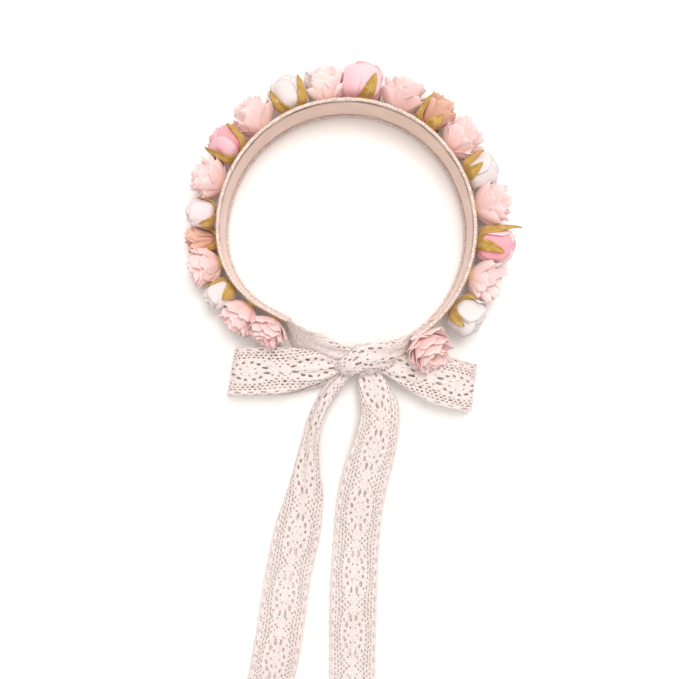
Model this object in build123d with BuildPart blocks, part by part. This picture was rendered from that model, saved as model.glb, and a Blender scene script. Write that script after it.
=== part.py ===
"""Flower crown: a lace-and-ribbon band carrying fabric flowers, tied at the back in a lace bow.

The crown lies flat, as on a table: +Z is the ring's axis, the band stands on its lower edge at Z = 0,
the origin is the centre of the head opening and the bow is on the -Y side. Sizes are millimetres.
"""

import os
from math import cos, radians, sin

from build123d import *

os.makedirs("parts", exist_ok=True)

# ---------------------------------------------------------------- driving dimensions
HEAD_RADIUS = 89.0  # inner face of the lining: a 56 cm head
LACE_WIDTH = 35.0  # the lace ribbon, which is also the band's height
GLUE_LINE = 0.1

LINING_THICKNESS = 0.6
LINING_WIDTH = 27.0
LACE_THICKNESS = 0.8
BASE_THICKNESS = 0.8
BASE_WIDTH = 28.0
EDGE_THICKNESS = 2.2  # the corded edge along each side of the lace
EDGE_HEIGHT = 2.0

# The plan of the band: a circle, then a tighter bend at the left, then a straight run to the knot.
RIGHT_END_ANGLE = -60.0
BEND_START_ANGLE = 184.0
BEND_END_ANGLE = 242.0
BEND_RADIUS = 60.0
LINING_RIGHT_ANGLE = -46.0
LINING_RUN = 3.0  # how far the lining goes on along the straight run
STRIP_RUN = 18.0

KNOT_X = (0.0, 27.0)
KNOT_Y = (-104.0, -80.0)
KNOT_Z = (6.0, 32.0)
KNOT_FILLET = 4.0

RIBBON_THICKNESS = 1.0

BAND_MID_Z = LACE_WIDTH / 2
LACE_OFFSET = LINING_THICKNESS + GLUE_LINE
BASE_OFFSET = LACE_OFFSET + LACE_THICKNESS + GLUE_LINE
OUTER_OFFSET = BASE_OFFSET + BASE_THICKNESS

BEND_CENTRE = (
    (HEAD_RADIUS - BEND_RADIUS) * cos(radians(BEND_START_ANGLE)),
    (HEAD_RADIUS - BEND_RADIUS) * sin(radians(BEND_START_ANGLE)),
)


def save(part, label):
    """Names a finished part and writes it to its own file."""
    part.label = label
    export_step(part, f"parts/{label}.step")


def direction(angle):
    """The horizontal unit vector at that angle from +X."""
    return Vector(cos(radians(angle)), sin(radians(angle)), 0)


def band_point(offset, angle, run=0.0):
    """A point in plan whose outward normal is at that angle, offset outside the lining's inner face.

    Past the bend the band is straight, and run is the distance along that stretch.
    """
    if angle <= BEND_START_ANGLE:
        return direction(angle) * (HEAD_RADIUS + offset)
    centre = Vector(*BEND_CENTRE, 0)
    return centre + direction(angle) * (BEND_RADIUS + offset) + direction(angle + 90) * run


# ---------------------------------------------------------------- the band
def band_strip(label, offset, thickness, z_low, height, right_angle, run):
    """A strip of ribbon that follows the band's plan, from its right end round to its left one."""
    with BuildPart() as strip:
        with BuildSketch(Plane.XY.offset(z_low)):
            with BuildLine():
                ends = []
                for side in (offset, offset + thickness):
                    CenterArc(
                        (0, 0), HEAD_RADIUS + side, right_angle, BEND_START_ANGLE - right_angle
                    )
                    CenterArc(
                        BEND_CENTRE,
                        BEND_RADIUS + side,
                        BEND_START_ANGLE,
                        BEND_END_ANGLE - BEND_START_ANGLE,
                    )
                    run_start = band_point(side, BEND_END_ANGLE)
                    run_end = band_point(side, BEND_END_ANGLE, run)
                    Line(run_start, run_end)
                    ends.append((band_point(side, right_angle), run_end))
                Line(ends[0][0], ends[1][0])
                Line(ends[0][1], ends[1][1])
            make_face()
        extrude(amount=height)
    save(strip.part, label)


band_strip(
    "lining_ribbon",
    0,
    LINING_THICKNESS,
    BAND_MID_Z - LINING_WIDTH / 2,
    LINING_WIDTH,
    LINING_RIGHT_ANGLE,
    LINING_RUN,
)
band_strip(
    "lace_band",
    LACE_OFFSET,
    LACE_THICKNESS,
    EDGE_HEIGHT,
    LACE_WIDTH - 2 * EDGE_HEIGHT,
    RIGHT_END_ANGLE,
    STRIP_RUN,
)
band_strip(
    "base_strip",
    BASE_OFFSET,
    BASE_THICKNESS,
    BAND_MID_Z - BASE_WIDTH / 2,
    BASE_WIDTH,
    RIGHT_END_ANGLE,
    STRIP_RUN,
)
EDGE_OFFSET = LACE_OFFSET + LACE_THICKNESS / 2 - EDGE_THICKNESS / 2
for label, z_low in (("upper_lace_edge", LACE_WIDTH - EDGE_HEIGHT), ("lower_lace_edge", 0.0)):
    band_strip(
        label, EDGE_OFFSET, EDGE_THICKNESS, z_low, EDGE_HEIGHT, RIGHT_END_ANGLE, STRIP_RUN
    )


# ---------------------------------------------------------------- the knot and the tie straps
with BuildPart() as bow_knot:
    with BuildSketch(Plane.XY.offset(KNOT_Z[0])):
        with Locations((sum(KNOT_X) / 2, sum(KNOT_Y) / 2)):
            Rectangle(KNOT_X[1] - KNOT_X[0], KNOT_Y[1] - KNOT_Y[0])
    extrude(amount=KNOT_Z[1] - KNOT_Z[0])
    fillet(bow_knot.edges(), KNOT_FILLET)
save(bow_knot.part, "bow_knot")

STRAP_MID_HEIGHT = 31.0
STRAP_KNOT_HEIGHT = 15.0
STRAP_KNOT_THICKNESS = 4.0
STRAP_KNOT_Y = -86.5
STRAP_KNOT_Z = 19.5


def tie_strap(label, start, normal_angle, knot_x, lean, shift):
    """The lace from one end of the band to the knot: upright at the band, gathered at the knot."""
    normal = direction(normal_angle)
    end = Vector(knot_x, STRAP_KNOT_Y, STRAP_KNOT_Z)
    first = Vector(start.X, start.Y, BAND_MID_Z)
    along_x = 1 if knot_x > start.X else -1
    heading = direction(normal_angle + 90 * along_x)
    middle = (first + end) * 0.5 + normal * shift
    with BuildPart() as strap:
        with BuildSketch(Plane(first, x_dir=normal, z_dir=heading)):
            Rectangle(LACE_THICKNESS, LACE_WIDTH)
        with BuildSketch(Plane(middle, x_dir=normal, z_dir=heading)):
            Rectangle(RIBBON_THICKNESS, STRAP_MID_HEIGHT, rotation=-lean * along_x)
        with BuildSketch(Plane(end, x_dir=(0, -1, 0), z_dir=(along_x, 0, 0))):
            Rectangle(STRAP_KNOT_THICKNESS, STRAP_KNOT_HEIGHT)
        loft()
    save(strap.part, label)


LACE_MID_OFFSET = LACE_OFFSET + LACE_THICKNESS / 2
tie_strap(
    "left_tie_strap",
    band_point(LACE_MID_OFFSET, BEND_END_ANGLE, STRIP_RUN),
    BEND_END_ANGLE,
    KNOT_X[0],
    lean=22.0,
    shift=1.0,
)
tie_strap(
    "right_tie_strap",
    band_point(LACE_MID_OFFSET, RIGHT_END_ANGLE),
    RIGHT_END_ANGLE,
    KNOT_X[1],
    lean=8.0,
    shift=0.5,
)


# ---------------------------------------------------------------- the bow's loops
LOOP_PIVOT_Z = 14.0
LOOP_PIVOT_GAP = 3.0  # from the knot's side to the hinge line
LOOP_ROOT_RADIUS = 2.2
LOOP_END_RADIUS = 7.5
LOOP_END_Z = 9.0


def bow_loop(label, knot_x, side, length, near_edge, far_edge):
    """One loop of the bow: ribbon out from the knot, round the far end and back.

    near_edge and far_edge are the ribbon's two edges in Y, at the knot and at the far end.
    """
    root_x = knot_x + side * LOOP_PIVOT_GAP
    end_x = knot_x + side * (length - LOOP_END_RADIUS)
    depth = 60.0
    centre_y = sum(far_edge) / 2
    with BuildPart() as loop:
        with BuildSketch(Plane.XZ.offset(-(centre_y + depth / 2))):
            with BuildLine():
                upper = Line(
                    (root_x, LOOP_PIVOT_Z + LOOP_ROOT_RADIUS),
                    (end_x, LOOP_END_Z + LOOP_END_RADIUS),
                )
                lower = Line(
                    (root_x, LOOP_PIVOT_Z - LOOP_ROOT_RADIUS),
                    (end_x, LOOP_END_Z - LOOP_END_RADIUS),
                )
                ThreePointArc(upper @ 1, (end_x + side * LOOP_END_RADIUS, LOOP_END_Z), lower @ 1)
                ThreePointArc(
                    upper @ 0, (root_x - side * LOOP_ROOT_RADIUS, LOOP_PIVOT_Z), lower @ 0
                )
            make_face()
            with BuildLine():
                hollow_x = root_x + side * 12.0
                share = (hollow_x - root_x) / (end_x - root_x)
                rise = LOOP_ROOT_RADIUS + (LOOP_END_RADIUS - LOOP_ROOT_RADIUS) * share
                hollow_z = LOOP_PIVOT_Z + (LOOP_END_Z - LOOP_PIVOT_Z) * share
                inner_radius = LOOP_END_RADIUS - RIBBON_THICKNESS
                inner_upper = Line(
                    (hollow_x, hollow_z + rise - RIBBON_THICKNESS),
                    (end_x, LOOP_END_Z + inner_radius),
                )
                inner_lower = Line(
                    (hollow_x, hollow_z - rise + RIBBON_THICKNESS),
                    (end_x, LOOP_END_Z - inner_radius),
                )
                ThreePointArc(
                    inner_upper @ 1, (end_x + side * inner_radius, LOOP_END_Z), inner_lower @ 1
                )
                Line(inner_upper @ 0, inner_lower @ 0)
            make_face(mode=Mode.SUBTRACT)
        extrude(amount=depth)
        with BuildSketch(Plane.XY):
            with BuildLine():
                reach = knot_x + side * length
                Polyline(
                    (root_x - side * LOOP_ROOT_RADIUS, near_edge[0]),
                    (reach, far_edge[0]),
                    (reach, far_edge[1]),
                    (root_x - side * LOOP_ROOT_RADIUS, near_edge[1]),
                    close=True,
                )
            make_face()
        extrude(amount=LACE_WIDTH, mode=Mode.INTERSECT)
    save(loop.part, label)


bow_loop("left_bow_loop", KNOT_X[0], -1, 85.5, near_edge=(-90.2, -101), far_edge=(-82.5, -120))
bow_loop("right_bow_loop", KNOT_X[1], 1, 69.0, near_edge=(-90.5, -102.5), far_edge=(-96, -131))


# ---------------------------------------------------------------- the ribbon tails
TAIL_PIVOT_Y = -108.5
TAIL_PIVOT_Z = 14.0
TAIL_ROOT_RADIUS = 1.5
TAIL_LANDING_Y = -185.0  # where the ribbon reaches the table


def ribbon_tail(label, left_edge, right_edge):
    """One hanging end of the ribbon: down from the knot to the table, then flat along it."""
    end_y = min(left_edge[-1][1], right_edge[-1][1])
    width = 200.0
    with BuildPart() as tail:
        with BuildSketch(Plane.YZ.offset(-width / 2)):
            with BuildLine():
                top = Polyline(
                    (TAIL_PIVOT_Y, TAIL_PIVOT_Z + TAIL_ROOT_RADIUS),
                    (TAIL_LANDING_Y, RIBBON_THICKNESS),
                    (end_y, RIBBON_THICKNESS),
                )
                under = Polyline(
                    (TAIL_PIVOT_Y, TAIL_PIVOT_Z - TAIL_ROOT_RADIUS),
                    (TAIL_LANDING_Y + RIBBON_THICKNESS, 0),
                    (end_y, 0),
                )
                Line(top @ 1, under @ 1)
                ThreePointArc(
                    top @ 0, (TAIL_PIVOT_Y + TAIL_ROOT_RADIUS, TAIL_PIVOT_Z), under @ 0
                )
            make_face()
        extrude(amount=width)
        with BuildSketch(Plane.XY):
            with BuildLine():
                left = Spline(*left_edge)
                right = Spline(*right_edge)
                Line(left @ 0, right @ 0)
                Line(left @ 1, right @ 1)
            make_face()
        extrude(amount=LACE_WIDTH, mode=Mode.INTERSECT)
    save(tail.part, label)


ribbon_tail(
    "left_tail",
    left_edge=[(-12, -104), (-27, -132), (-34, -168), (-52, -230), (-66, -300), (-85, -390)],
    right_edge=[(-3, -104), (-17, -132), (-21, -168), (-20, -220), (-32, -300), (-51, -394)],
)
ribbon_tail(
    "right_tail",
    left_edge=[(8, -104), (11, -130), (2, -161), (-8, -200), (-12, -270), (-13, -400)],
    right_edge=[(24, -104), (39.5, -132), (32, -165), (27.5, -200), (23, -270), (22, -396)],
)


# ---------------------------------------------------------------- the flowers
CALYX_HEIGHT = 4.0
PAD_RADIUS = 5.5
PAD_HEIGHT = 1.4
CALYX_BASE_RADIUS = 3.2
CALYX_TOP_RADIUS = 5.6
SEPAL_GAP = 0.15
SEPAL_THICKNESS = 0.7
STAMEN_RADIUS = 2.4
STAMEN_HEIGHT = 5.0
HOLLOW_FLOOR_RADIUS = 3.0  # the flat floor of an open flower, where the stamens stand

# Kind, outward normal's angle, run along the straight stretch, height of the stem, upward tilt,
# radius and length of the flower head.
FLOWERS = [
    ("blossom", 242, 9.0, 22.0, 12, 9.0, 18.0),
    ("blossom", 231, 0, 17.0, 0, 10.5, 23.0),
    ("bud", 215, 0, 18.5, 0, 9.8, 25.0),
    ("blossom", 198, 0, 17.0, 0, 11.8, 26.0),
    ("rose", 183, 0, 11.0, -4, 8.5, 27.0),
    ("bud", 173.5, 0, 22.0, 4, 9.5, 24.0),
    ("blossom", 159, 0, 17.5, 0, 13.5, 26.0),
    ("bud", 144, 0, 18.5, 0, 12.5, 27.0),
    ("blossom", 129, 0, 17.5, 0, 13.5, 26.0),
    ("bud", 113, 0, 18.5, 0, 13.0, 28.0),
    ("blossom", 98.5, 0, 17.0, 0, 12.0, 27.0),
    ("bud", 84, 0, 18.5, 0, 14.5, 30.0),
    ("blossom", 67.5, 0, 17.5, 0, 13.5, 27.0),
    ("rose", 52.5, 0, 17.5, 0, 12.0, 28.0),
    ("blossom", 39, 0, 17.5, 0, 12.0, 27.0),
    ("bud", 24.5, 0, 18.0, 0, 12.0, 27.0),
    ("blossom", 10.5, 0, 17.5, 0, 13.0, 28.0),
    ("bud", -5, 0, 18.5, 0, 12.8, 30.0),
    ("blossom", -19.5, 0, 17.5, 0, 12.6, 27.0),
    ("bud", -35, 0, 18.5, 0, 13.5, 27.0),
    ("blossom", -55.5, 0, 23.0, 16, 11.5, 19.0),
]


def stem_plane(angle, run, height, tilt):
    """A plane at the flower's foot on the band: local Z is the flower's axis, pointing outward."""
    foot = band_point(OUTER_OFFSET, angle, run)
    tangent = direction(angle + 90)
    axis = direction(angle) * cos(radians(tilt)) + Vector(0, 0, sin(radians(tilt)))
    return Plane(Vector(foot.X, foot.Y, height), x_dir=tangent, z_dir=axis)


def profile_plane(stem):
    """The plane through the flower's axis, with local Y along it."""
    return Plane(stem.origin, x_dir=stem.x_dir, z_dir=stem.y_dir * -1)


def head_outline(kind, radius, length):
    """The flower head's outer profile, as (distance from the axis, distance along it)."""
    if kind == "bud":
        shape = [(0.0, 0.62), (0.3, 0.96), (0.62, 0.9), (1.0, 0.42)]
    elif kind == "rose":
        shape = [(0.0, 0.72), (0.55, 1.0), (0.7, 0.9), (1.0, 0.2)]
    else:
        shape = [(0.0, 0.62), (0.3, 0.86), (0.74, 1.0), (1.0, 0.5)]
    return [
        (CALYX_TOP_RADIUS + (radius - CALYX_TOP_RADIUS) * out, CALYX_HEIGHT + grow * along)
        for along, out in shape
        for grow in (length - CALYX_HEIGHT,)
    ]


def flower_head(kind, stem, radius, length):
    """The closed envelope of the petals; blossoms and roses are hollow in front and notched."""
    outline = head_outline(kind, radius, length)
    axis = Axis(stem.origin, stem.z_dir)
    front = outline[-1]
    hollow_depth = 0.0 if kind == "bud" else 0.3 * length
    with BuildPart() as head:
        with BuildSketch(profile_plane(stem)):
            with BuildLine():
                Line((0, CALYX_HEIGHT), (CALYX_TOP_RADIUS, CALYX_HEIGHT))
                Spline((CALYX_TOP_RADIUS, CALYX_HEIGHT), *outline[1:])
                floor = front[1] - hollow_depth
                Polyline(front, (HOLLOW_FLOOR_RADIUS, floor), (0, floor), (0, CALYX_HEIGHT))
            make_face()
        revolve(axis=axis)
        if kind != "bud":
            notches = 5 if kind == "blossom" else 7
            with BuildSketch(stem.offset(front[1] - hollow_depth / 2)):
                with PolarLocations(radius * 1.12, notches, start_angle=18):
                    Circle(radius * 0.27)
            extrude(amount=length, mode=Mode.SUBTRACT)
    return head.part, outline


def plain_calyx(stem):
    """The small cone under a flower head."""
    with BuildPart() as calyx:
        with BuildSketch(profile_plane(stem)):
            with BuildLine():
                Polyline(
                    (0, PAD_HEIGHT),
                    (CALYX_BASE_RADIUS, PAD_HEIGHT),
                    (CALYX_TOP_RADIUS, CALYX_HEIGHT),
                    (0, CALYX_HEIGHT),
                    close=True,
                )
            make_face()
        revolve(axis=Axis(stem.origin, stem.z_dir))
    return calyx


def leafy_calyx(stem, outline, length, sepals=3):
    """A calyx whose pointed sepals hug the outside of the head."""
    reach = CALYX_HEIGHT + 0.62 * (length - CALYX_HEIGHT)
    head_side = [(CALYX_TOP_RADIUS, CALYX_HEIGHT), *outline[1:]]
    with BuildPart() as calyx:
        with BuildSketch(profile_plane(stem)):
            with BuildLine():
                inner = Spline(*[(r + SEPAL_GAP, h) for r, h in head_side])
                outer = Spline(*[(r + SEPAL_GAP + SEPAL_THICKNESS, h) for r, h in head_side])
                Line(inner @ 1, outer @ 1)
                Polyline(inner @ 0, (0, CALYX_HEIGHT), (0, PAD_HEIGHT), (CALYX_BASE_RADIUS, PAD_HEIGHT))
                Line((CALYX_BASE_RADIUS, PAD_HEIGHT), outer @ 0)
            make_face()
        revolve(axis=Axis(stem.origin, stem.z_dir))
        for number in range(sepals):
            gap_plane = Plane(
                stem.origin,
                x_dir=stem.x_dir.rotate(Axis((0, 0, 0), stem.z_dir), 360 / sepals * number + 120),
                z_dir=stem.z_dir,
            )
            with BuildSketch(Plane(gap_plane.origin, x_dir=gap_plane.y_dir, z_dir=gap_plane.x_dir)):
                with BuildLine():
                    Polyline(
                        (0, CALYX_HEIGHT + 1),
                        (length * 0.62, reach + 1),
                        (length * 0.62, length + 5),
                        (-length * 0.62, length + 5),
                        (-length * 0.62, reach + 1),
                        close=True,
                    )
                make_face()
            extrude(amount=length, mode=Mode.SUBTRACT)
    return calyx


pads = []
stamens = []
PAD_SEAT = 1.2
for number, (kind, angle, run, height, tilt, radius, length) in enumerate(FLOWERS, start=1):
    name = f"{kind}_{number:02d}"
    stem = stem_plane(angle, run, height, tilt)
    head, outline = flower_head(kind, stem, radius, length)
    save(head, f"{name}_petals")
    calyx = plain_calyx(stem) if kind == "blossom" else leafy_calyx(stem, outline, length)
    save(calyx.part, f"{name}_calyx")

    with BuildPart() as pad:
        with BuildSketch(stem.offset(-PAD_SEAT)):
            Circle(PAD_RADIUS)
        extrude(amount=PAD_SEAT + PAD_HEIGHT)
        bent = angle > BEND_START_ANGLE
        core_radius = (BEND_RADIUS if bent else HEAD_RADIUS) + OUTER_OFFSET
        behind = band_point(OUTER_OFFSET - BEND_RADIUS / 2, angle, run)
        with BuildSketch(Plane.XY):
            if run > 0:
                with Locations(Location((behind.X, behind.Y), angle)):
                    Rectangle(BEND_RADIUS, BEND_RADIUS)
            else:
                with Locations(BEND_CENTRE if bent else (0, 0)):
                    Circle(core_radius)
        extrude(amount=LACE_WIDTH, mode=Mode.SUBTRACT)
    pads.append(pad.part)

    if kind == "blossom":
        seat = outline[-1][1] - 0.3 * length
        with BuildPart() as stamen:
            with BuildSketch(stem.offset(seat)):
                Circle(STAMEN_RADIUS)
            extrude(amount=STAMEN_HEIGHT, taper=-8)
        stamens.append(stamen.part)

save(Compound(children=pads), "glue_pads")
save(Compound(children=stamens), "stamen_clusters")
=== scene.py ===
import math
import random

import bpy
import numpy as np
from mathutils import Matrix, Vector


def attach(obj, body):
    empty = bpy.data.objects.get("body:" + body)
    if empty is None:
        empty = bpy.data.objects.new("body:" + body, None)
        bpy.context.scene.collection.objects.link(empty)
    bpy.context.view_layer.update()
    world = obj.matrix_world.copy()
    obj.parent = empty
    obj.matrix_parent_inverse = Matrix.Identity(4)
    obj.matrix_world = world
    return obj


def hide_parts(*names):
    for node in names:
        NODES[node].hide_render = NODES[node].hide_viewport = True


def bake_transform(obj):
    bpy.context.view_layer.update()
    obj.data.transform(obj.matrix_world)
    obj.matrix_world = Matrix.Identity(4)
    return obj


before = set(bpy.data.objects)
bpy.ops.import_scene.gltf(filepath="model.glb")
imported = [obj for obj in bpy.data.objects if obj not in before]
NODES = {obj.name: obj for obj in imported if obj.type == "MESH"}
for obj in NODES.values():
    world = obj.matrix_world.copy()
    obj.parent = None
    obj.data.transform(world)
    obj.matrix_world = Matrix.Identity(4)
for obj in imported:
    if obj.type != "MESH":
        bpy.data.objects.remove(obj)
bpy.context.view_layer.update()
MM = 0.001

# ---------- camera, light, floor
CAMERA_PLACE = (-0.0049, -0.078, 0.530)  # looks straight down, its default direction
LAMP_TARGET = (0.0, -0.15, 0.0)
LAMP_COLOR = (1.0, 0.965, 0.94)
FLOOR_SIZE = 4.0
FLOOR_Z = -0.0002

camera_data = bpy.data.cameras.new("camera")
camera_data.lens = 37.6
camera_data.sensor_width = 36.0
camera_data.clip_start = 0.01
camera = bpy.data.objects.new("camera", camera_data)
camera.location = CAMERA_PLACE
bpy.context.scene.collection.objects.link(camera)
bpy.context.scene.camera = camera


def area_light(name, place, size, power):
    data = bpy.data.lights.new(name, "AREA")
    data.shape = "DISK"
    data.size = size
    data.energy = power
    data.color = LAMP_COLOR
    light = bpy.data.objects.new(name, data)
    light.location = place
    aim = Vector(LAMP_TARGET) - Vector(place)
    light.rotation_euler = aim.to_track_quat("-Z", "Y").to_euler()
    bpy.context.scene.collection.objects.link(light)


area_light("key", (0.35, 1.0, 2.9), size=1.5, power=58)
area_light("top", (-0.3, -0.4, 3.2), size=2.4, power=26)

# The surround lights the scene with a warm fill, and is seen behind the floor as a plain backdrop.
world = bpy.data.worlds.new("world")
world.use_nodes = True
world_tree = world.node_tree
surround = world_tree.nodes["Background"]
surround.inputs["Color"].default_value = (1.0, 0.91, 0.86, 1)
surround.inputs["Strength"].default_value = 0.52
backdrop = world_tree.nodes.new("ShaderNodeBackground")
backdrop.inputs["Color"].default_value = (0.93, 0.91, 0.89, 1)
choose = world_tree.nodes.new("ShaderNodeMixShader")
seen = world_tree.nodes.new("ShaderNodeLightPath").outputs["Is Camera Ray"]
for socket, source in zip(choose.inputs, (seen, surround.outputs[0], backdrop.outputs[0])):
    world_tree.links.new(source, socket)
world_surface = world_tree.nodes["World Output"].inputs["Surface"]
world_tree.links.new(choose.outputs[0], world_surface)
bpy.context.scene.world = world
bpy.context.scene.view_settings.view_transform = "Standard"


# ---------- materials
def linear(rgb):
    """An sRGB colour of 0 to 255 as the linear colour that a socket holds."""
    return [((c / 255 + 0.055) / 1.055) ** 2.4 for c in rgb]


def stops(*places_and_colors):
    """Stops of a colour ramp, from (place, sRGB colour) pairs."""
    return [(place, linear(color)) for place, color in places_and_colors]


class Shader:
    """Writes a node material in a few lines: each call adds a node and gives its output."""

    def __init__(self, name):
        self.material = bpy.data.materials.new(name)
        self.material.use_nodes = True
        self.tree = self.material.node_tree
        self.surface = self.tree.nodes["Principled BSDF"]

    def node(self, kind, _ports=(), **values):
        made = self.tree.nodes.new(kind)
        for key, value in values.items():
            setattr(made, key, value)
        for port, value in dict(_ports).items():
            self.set(made, port, value)
        return made

    def set(self, node, port, value):
        socket = node.inputs[port]
        if hasattr(value, "is_output"):
            self.tree.links.new(value, socket)
        else:
            socket.default_value = value

    def math(self, operation, a, b=0.0):
        return self.node("ShaderNodeMath", {0: a, 1: b}, operation=operation).outputs[0]

    def add(self, a, b):
        return self.math("ADD", a, b)

    def times(self, a, b):
        return self.math("MULTIPLY", a, b)

    def sine(self, a):
        return self.math("SINE", a)

    def attribute(self, name):
        return self.node("ShaderNodeAttribute", attribute_name=name).outputs["Fac"]

    def lace_place(self):
        """The place on the flat ribbon, in millimetres: along it, across it, 0."""
        return self.node("ShaderNodeAttribute", attribute_name="lace").outputs["Vector"]

    def split(self, vector):
        return self.node("ShaderNodeSeparateXYZ", {0: vector}).outputs

    def position(self):
        return self.node("ShaderNodeTexCoord").outputs["Object"]

    def noise(self, vector, scale, detail=3.0, rough=0.55):
        ports = {"Vector": vector, "Scale": scale, "Detail": detail, "Roughness": rough}
        return self.node("ShaderNodeTexNoise", ports).outputs["Fac"]

    def ramp(self, value, stops):
        made = self.node("ShaderNodeValToRGB", {0: value})
        elements = made.color_ramp.elements
        while len(elements) < len(stops):
            elements.new(0.5)
        for element, (place, color) in zip(elements, stops):
            element.position = place
            element.color = (*color[:3], 1)
        return made.outputs["Color"]

    def mix(self, factor, a, b, blend="MIX"):
        made = self.node("ShaderNodeMix", data_type="RGBA", blend_type=blend)
        self.set(made, 0, factor)
        for port, value in ((6, a), (7, b)):
            self.set(made, port, value if hasattr(value, "is_output") else (*value[:3], 1))
        return made.outputs[2]

    def bump(self, height, distance, strength=1.0):
        ports = {"Height": height, "Distance": distance, "Strength": strength}
        self.set(self.surface, "Normal", self.node("ShaderNodeBump", ports).outputs[0])

    def finish(self, color, roughness=0.8, sheen=0.0, specular=0.3):
        self.set(self.surface, "Base Color", color)
        self.set(self.surface, "Roughness", roughness)
        self.surface.inputs["Specular IOR Level"].default_value = specular
        self.surface.inputs["Sheen Weight"].default_value = sheen
        self.surface.inputs["Sheen Roughness"].default_value = 0.5
        return self.material


def lace_material():
    s = Shader("lace_cotton")
    place = s.lace_place()
    split = s.split(place)
    wobble = s.times(s.noise(place, 0.3, 2.0), 5.0)
    along, across = s.times(split[0], 2.7), s.times(split[1], 2.2)
    one = s.sine(s.add(s.add(along, across), wobble))
    two = s.sine(s.math("SUBTRACT", s.math("SUBTRACT", along, across), wobble))
    knit = s.times(one, two)
    grain = s.math("SUBTRACT", s.noise(place, 0.95, 2.0, 0.5), 0.5)
    fibre = s.math("SUBTRACT", s.noise(place, 3.0, 3.0, 0.6), 0.5)
    height = s.add(s.times(knit, 0.30), s.add(s.times(grain, 1.5), s.times(fibre, 0.8)))
    s.bump(height, 0.00055, 0.9)
    # The colour follows the same stitch relief and is darker where it is low: painted shade in the
    # grooves between stitches.
    tones = stops((0.1, (226, 208, 202)), (0.5, (252, 245, 244)), (0.85, (255, 253, 253)))
    tone = s.ramp(s.add(height, 0.5), tones)
    patches = s.noise(s.position(), 30.0, 2.0)
    tone = s.mix(s.times(patches, 0.5), tone, linear((255, 243, 242)), "MULTIPLY")
    # Darker towards the edge of every hole: painted shade round the holes.
    tone = s.mix(s.attribute("rim"), linear((236, 222, 214)), tone)
    return s.finish(tone, 0.95, 0.2, 0.1)


def petal_material(name, deep, middle, edge, other, satin=0.0):
    """Petal cloth, coloured from its foot to its edge, with some petals in another colour."""
    s = Shader(name)
    position = s.position()
    clouds = s.noise(position, 160.0, 3.0)
    uneven = s.times(s.math("SUBTRACT", clouds, 0.5), 0.35)
    color = s.ramp(
        s.add(s.attribute("tint"), uneven), stops((0.0, deep), (0.38, middle), (1.0, edge))
    )
    is_other = s.math("GREATER_THAN", s.attribute("vary"), 0.62)
    color = s.mix(s.times(is_other, 0.85), color, linear(other))
    stray = s.times(s.noise(position, 300.0, 2.0), 5.0)
    veins = s.sine(s.add(s.times(s.attribute("across"), 46.0), stray))
    weave = s.noise(position, 2600.0, 2.0, 0.6)
    s.bump(s.add(s.times(veins, 0.35), s.times(weave, 0.5)), 0.00010, 0.7)
    roughness = s.add(0.78 - 0.3 * satin, s.times(clouds, 0.12))
    return s.finish(color, roughness, 0.35, 0.25 + 0.25 * satin)


def sepal_material():
    s = Shader("sepal_ochre")
    position = s.position()
    clouds = s.noise(position, 220.0, 4.0)
    tones = stops((0.25, (166, 128, 52)), (0.55, (198, 162, 86)), (0.85, (222, 192, 124)))
    color = s.ramp(clouds, tones)
    from_middle = s.math("ABSOLUTE", s.attribute("across"))
    rib = s.math("POWER", s.math("SUBTRACT", 1.0, from_middle), 14.0)
    color = s.mix(s.times(rib, 0.5), color, linear((228, 204, 144)))
    slanted = s.add(s.times(from_middle, 9.0), s.times(s.attribute("tint"), 40.0))
    veins = s.sine(slanted)
    weave = s.noise(position, 2400.0, 2.0)
    s.bump(s.add(s.times(veins, 0.3), weave), 0.00012, 0.7)
    return s.finish(color, 0.82, 0.2, 0.25)


def lining_material():
    s = Shader("lining_satin")
    place = s.lace_place()
    split = s.split(place)
    ribs = s.sine(s.times(split[0], 9.0))
    threads = s.noise(place, 2.4, 3.0, 0.6)
    patches = s.noise(place, 0.06, 3.0)
    color = s.ramp(patches, stops((0.3, (234, 205, 190)), (0.7, (245, 221, 208))))
    # Darker along both edges of the lining, where it meets the plaited edges: painted shade.
    edge_shade = s.math("GREATER_THAN", s.math("ABSOLUTE", split[1]), 12.6)
    color = s.mix(s.times(edge_shade, 0.5), color, linear((212, 180, 164)))
    s.bump(s.add(s.times(ribs, 0.35), s.times(threads, 0.6)), 0.00014, 0.6)
    return s.finish(color, 0.62, 0.3, 0.35)


def thread_material(name, dark, light, roughness, metallic=0.0):
    s = Shader(name)
    clouds = s.noise(s.position(), 900.0, 3.0)
    s.bump(clouds, 0.0001, 0.5)
    s.surface.inputs["Metallic"].default_value = metallic
    return s.finish(s.ramp(clouds, stops((0.3, dark), (0.7, light))), roughness, 0.1, 0.4)


def base_material():
    s = Shader("base_fabric")
    lines = s.sine(s.times(s.split(s.position())[2], 6200.0))
    clouds = s.noise(s.position(), 500.0, 3.0)
    tones = stops((0.2, (244, 230, 218)), (0.6, (252, 244, 238)), (0.95, (242, 220, 188)))
    color = s.ramp(s.math("MULTIPLY_ADD", lines, 0.5), tones)  # the node then adds its own 0.5
    s.bump(s.add(s.times(lines, 0.4), clouds), 0.0002, 0.6)
    return s.finish(color, 0.7, 0.2, 0.35)


def floor_material():
    s = Shader("floor_white")
    grain = s.noise(s.position(), 40.0, 2.0)
    color = s.ramp(grain, [(0.3, (0.93, 0.925, 0.92)), (0.7, (0.95, 0.945, 0.94))])
    return s.finish(color, 0.95, 0.0, 0.0)


LACE = lace_material()
SEPAL = sepal_material()
LINING = lining_material()
BASE = base_material()
GOLD = thread_material("gold_thread", (164, 124, 84), (220, 190, 146), 0.5, 0.3)
COTTON = thread_material("edge_cord", (206, 176, 164), (255, 248, 244), 0.88)
STAMEN = thread_material("stamen", (214, 170, 92), (244, 220, 160), 0.7)
GLUE = thread_material("hot_glue", (226, 214, 196), (240, 232, 220), 0.35)
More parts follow.
